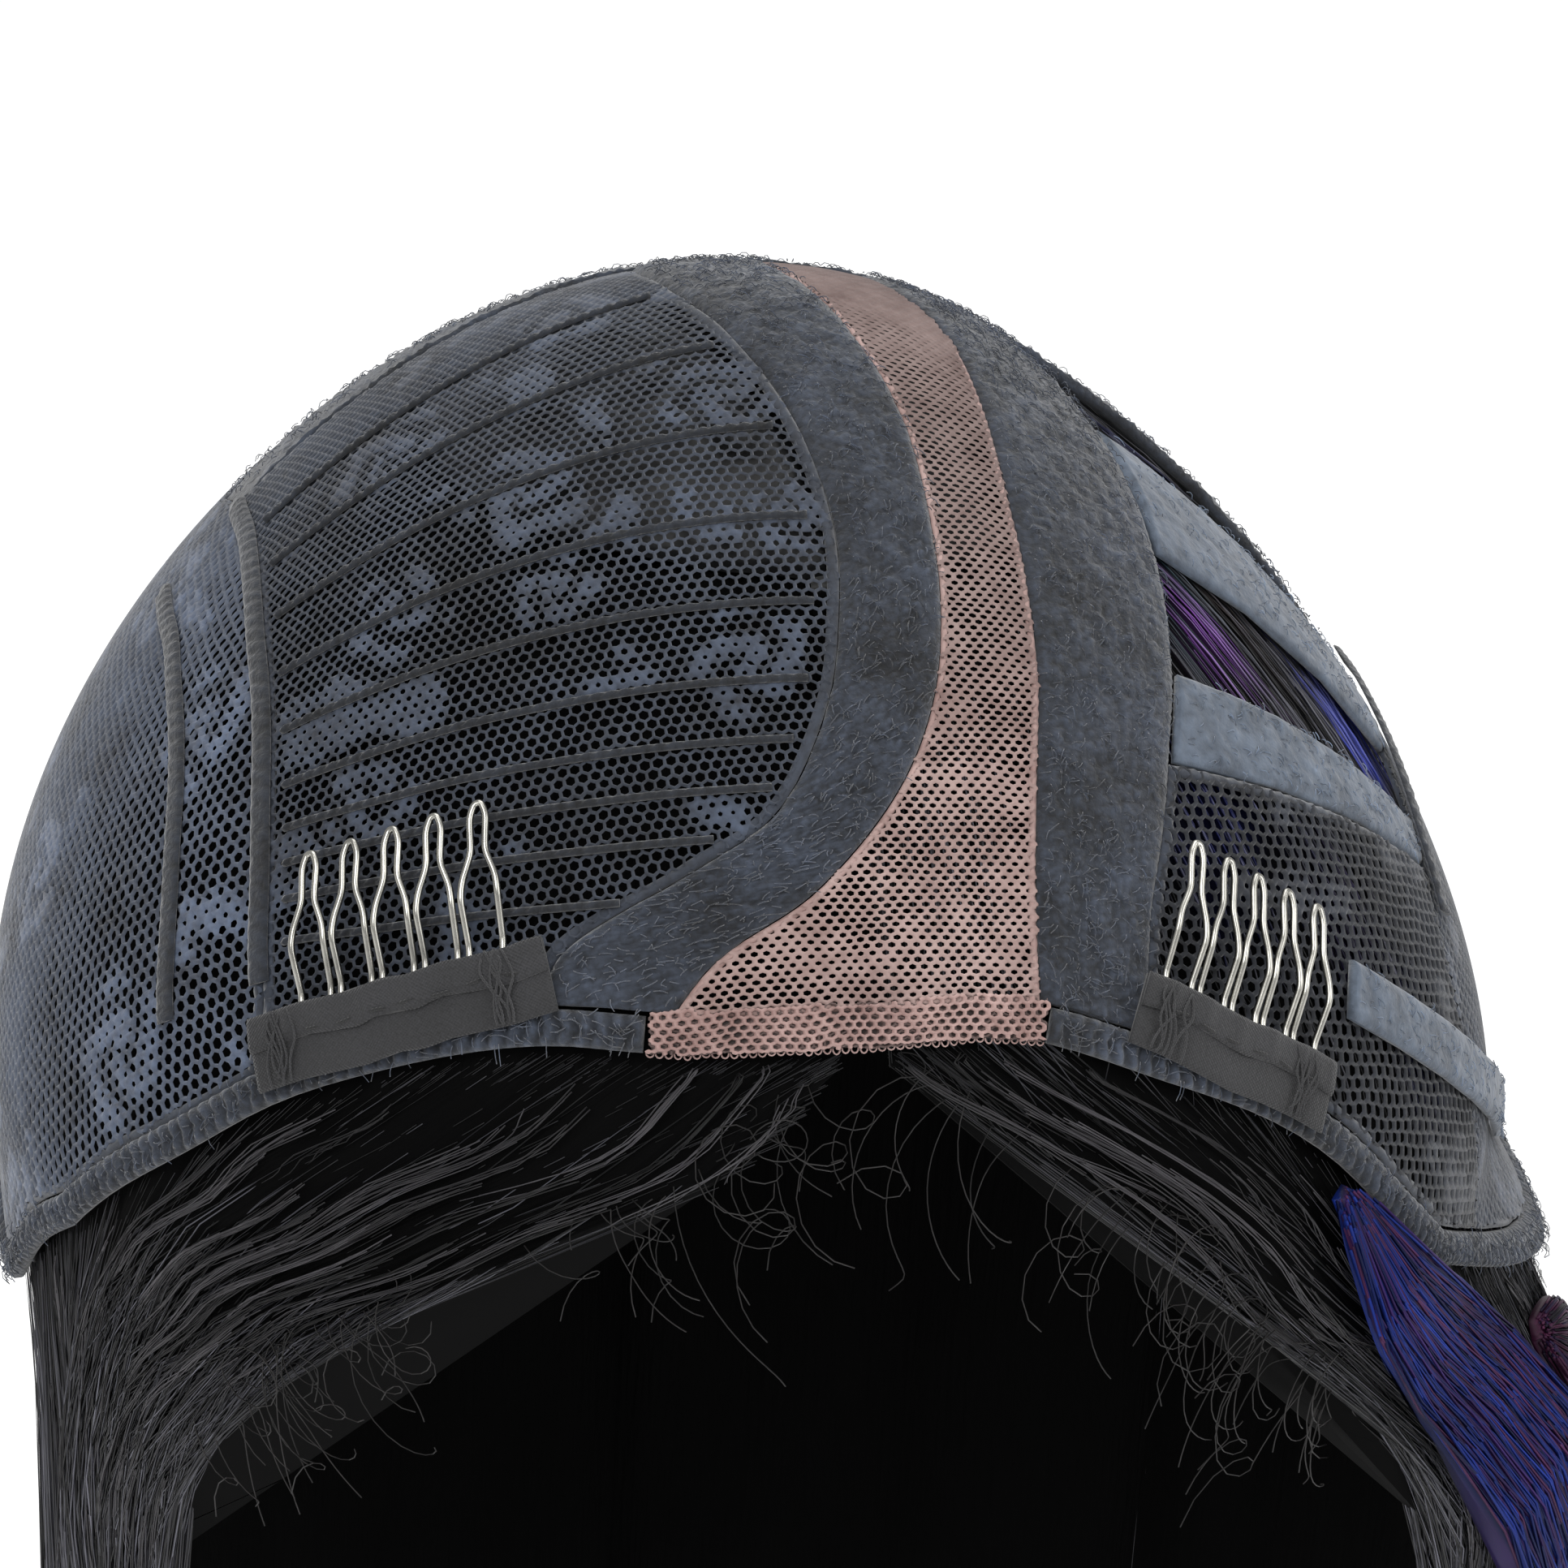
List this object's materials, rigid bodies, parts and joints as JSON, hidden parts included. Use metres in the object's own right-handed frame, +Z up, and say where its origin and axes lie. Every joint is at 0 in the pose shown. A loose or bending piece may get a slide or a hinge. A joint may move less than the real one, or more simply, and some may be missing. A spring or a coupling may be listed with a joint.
{
  "type": "wig",
  "caption": "Wig worn inside out: net cap with a lace part, knit bands, straps and two comb clips facing out, hair under the cap and hanging below its rim",
  "frame": {"origin": "inside of the crown's apex, where the wearer's head carries the wig", "axes": "+Z up along the head, -Y to the front of the wig, +X to the viewer's right when the wig faces the viewer"},
  "size_m": [0.2055, 0.1915, 0.2842],
  "materials": {
    "net": "black stretch net with a woven rose pattern",
    "knit": "fuzzy black knit",
    "lace": "skin-toned lace net",
    "strap": "grey-blue elastic webbing",
    "ribbon": "dark grey grosgrain",
    "steel": "bright bent wire",
    "hair": "black synthetic fibre",
    "blue_hair": "dyed blue synthetic fibre",
    "magenta_hair": "dyed magenta synthetic fibre"
  },
  "bodies": {
    "root": {"lace_part": "lace", "lace_hem": "lace", "part_band_left": "knit", "part_band_right": "knit", "crown_band": "knit", "crown_net_left": "net", "crown_net_right": "net", "side_net_left": "net", "side_net_right": "net", "back_net_left": "net", "back_net_right": "net", "rim_left": "knit", "rim_right": "knit", "strap_a": "strap", "strap_b": "strap", "strap_c": "strap", "comb_ribbon_left": "ribbon", "comb_ribbon_right": "ribbon", "comb_left": "steel", "comb_right": "steel", "hair_crown": "hair", "hair_front_left": "hair", "hair_side_left": "hair", "hair_back_left": "hair", "hair_back_right": "hair", "hair_side_right": "hair", "hair_front_right": "hair", "lock_blue": "blue_hair", "lock_magenta": "magenta_hair", "weft_left_1": "knit", "weft_left_2": "knit", "weft_left_3": "knit", "weft_left_4": "knit", "weft_left_5": "knit", "weft_left_6": "knit", "weft_left_7": "knit", "weft_left_8": "knit", "weft_left_9": "knit", "weft_left_10": "knit", "seam_left_1": "knit", "seam_left_2": "knit", "seam_right": "knit", "seam_back": "knit"}
  },
  "joints": []
}
